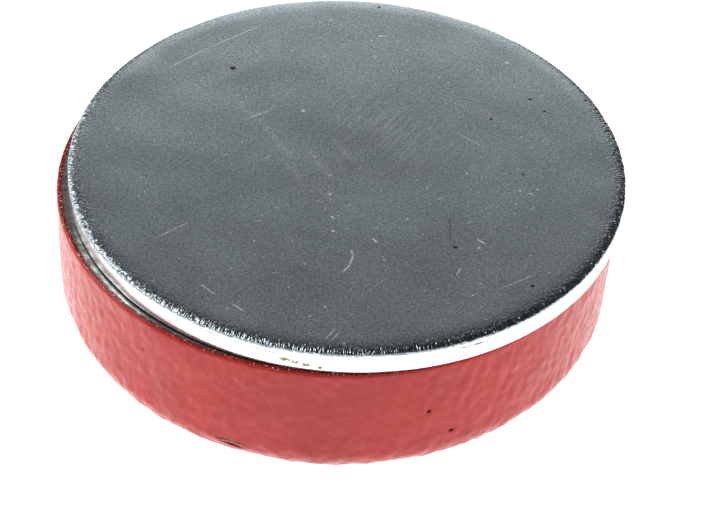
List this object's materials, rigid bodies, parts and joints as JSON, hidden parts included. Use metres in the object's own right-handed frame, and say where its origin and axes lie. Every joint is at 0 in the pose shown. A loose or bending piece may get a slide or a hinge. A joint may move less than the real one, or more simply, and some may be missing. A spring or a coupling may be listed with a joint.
{
  "type": "pot magnet",
  "caption": "Shallow round holding magnet with a red enamelled casting, lying on its back with its flat steel keeper disc on the pole face.",
  "frame": {"origin": "on the magnet's axis, in the plane of its flat back, which is what it rests on", "axes": "+Z along the magnet's axis from the back to the pole face, +X the way that the keeper slides off"},
  "size_m": [0.0386, 0.0382, 0.0122],
  "materials": {
    "ground_alnico": "satin",
    "red_enamel": "gloss",
    "zinc_plated_steel": "satin"
  },
  "bodies": {
    "magnet": {"magnet_casting": "ground_alnico", "outer_enamel_coat": "red_enamel", "recess_enamel_coat": "red_enamel"},
    "keeper": {"keeper_plate": "zinc_plated_steel"}
  },
  "joints": [
    {"name": "keeper_slide", "type": "slide", "parent": "magnet", "child": "keeper", "axis": [1, 0, 0], "range_m": [-0.0388, 0.0375]}
  ]
}
